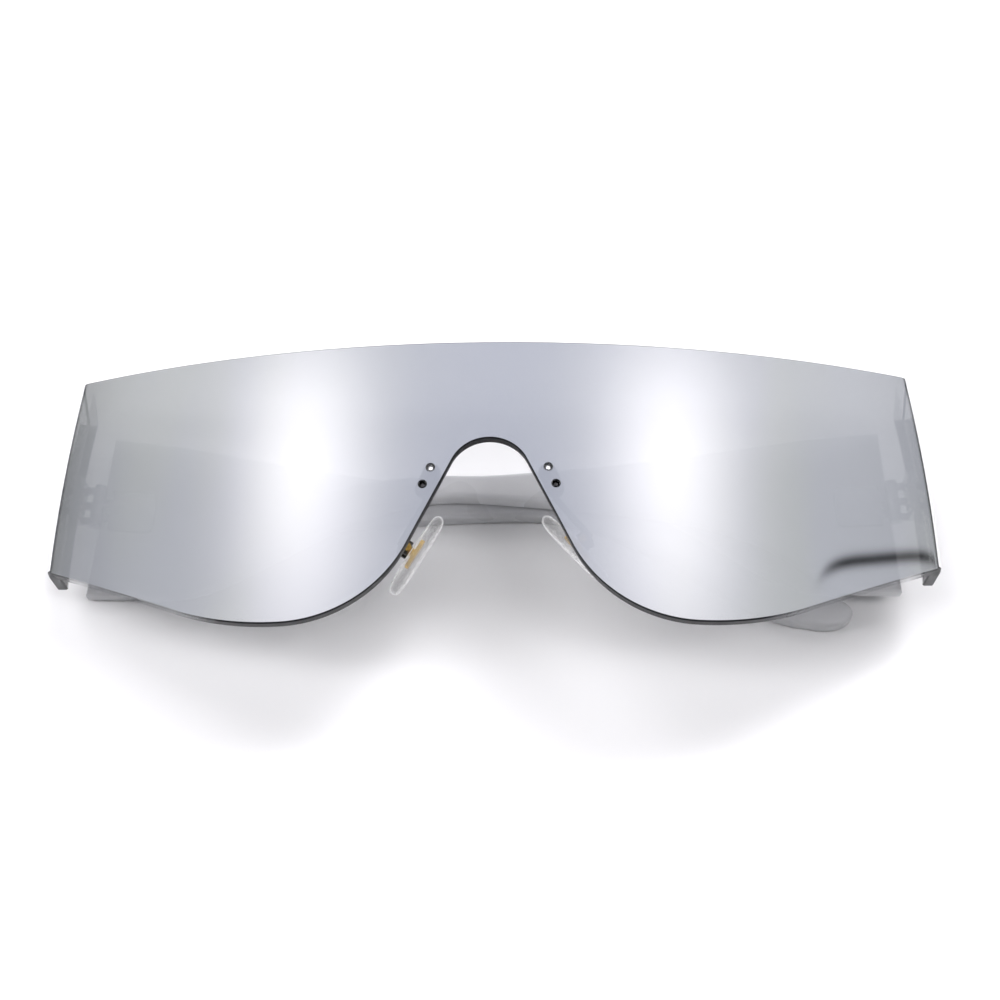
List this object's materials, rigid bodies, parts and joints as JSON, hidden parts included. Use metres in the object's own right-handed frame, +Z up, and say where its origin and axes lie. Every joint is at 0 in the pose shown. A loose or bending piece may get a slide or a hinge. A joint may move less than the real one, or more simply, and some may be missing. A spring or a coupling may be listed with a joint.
{
  "type": "shield sunglasses",
  "caption": "Rimless shield sunglasses with a mirrored one-piece lens, rocking nose pads and hinged temples, lying folded on the temples.",
  "frame": {"origin": "on the table plane under the outer temple, in the middle of the part's width and height of shield", "axes": "+X toward the wearer's left side, +Y toward the shield's top edge, +Z up, out of the front of the shield as it lies on its folded temples"},
  "size_m": [0.1452, 0.0474, 0.0288],
  "materials": {
    "mirrored_shield": "silver flash mirror on a grey tint",
    "temple_plastic": "clear grey, polished",
    "clear_silicone": "clear, soft",
    "clear_sleeve": "clear",
    "dark_metal": "black nickel",
    "gilt_metal": "gilt",
    "steel": "polished"
  },
  "bodies": {
    "front": {"shield_lens": "mirrored_shield", "nose_arm_right": "dark_metal", "stud_sleeves_right": "clear_sleeve", "pad_screw_right": "gilt_metal", "wing_leaf_right": "steel", "wing_rivets_right": "steel", "hinge_screw_right": "steel", "nose_arm_left": "dark_metal", "stud_sleeves_left": "clear_sleeve", "pad_screw_left": "gilt_metal", "wing_leaf_left": "steel", "wing_rivets_left": "steel", "hinge_screw_left": "steel"},
    "temple_right": {"temple_right": "temple_plastic", "temple_leaf_right": "steel", "temple_rivets_right": "steel"},
    "pad_right": {"nose_pad_right": "clear_silicone", "pad_core_right": "gilt_metal"},
    "temple_left": {"temple_left": "temple_plastic", "temple_leaf_left": "steel", "temple_rivets_left": "steel"},
    "pad_left": {"nose_pad_left": "clear_silicone", "pad_core_left": "gilt_metal"}
  },
  "joints": [
    {"name": "temple_fold_right", "type": "hinge", "parent": "front", "child": "temple_right", "pos_m": [-0.06746, 0.0043, 0.00475], "axis": [0.0718, 0.9974, 0], "range_deg": [0, 91]},
    {"name": "temple_fold_left", "type": "hinge", "parent": "front", "child": "temple_left", "pos_m": [0.0677, 0.0043, 0.00855], "axis": [0.0474, -0.9989, 0], "range_deg": [0, 91]},
    {"name": "pad_rock_right", "type": "hinge", "parent": "front", "child": "pad_right", "pos_m": [-0.01352, -0.0095, 0.02035], "axis": [0.0927, -0.0696, 0.9933], "range_deg": [-13, 8]},
    {"name": "pad_rock_left", "type": "hinge", "parent": "front", "child": "pad_left", "pos_m": [0.01452, -0.0083, 0.02114], "axis": [-0.1483, -0.0696, 0.9865], "range_deg": [-14, 1]}
  ]
}
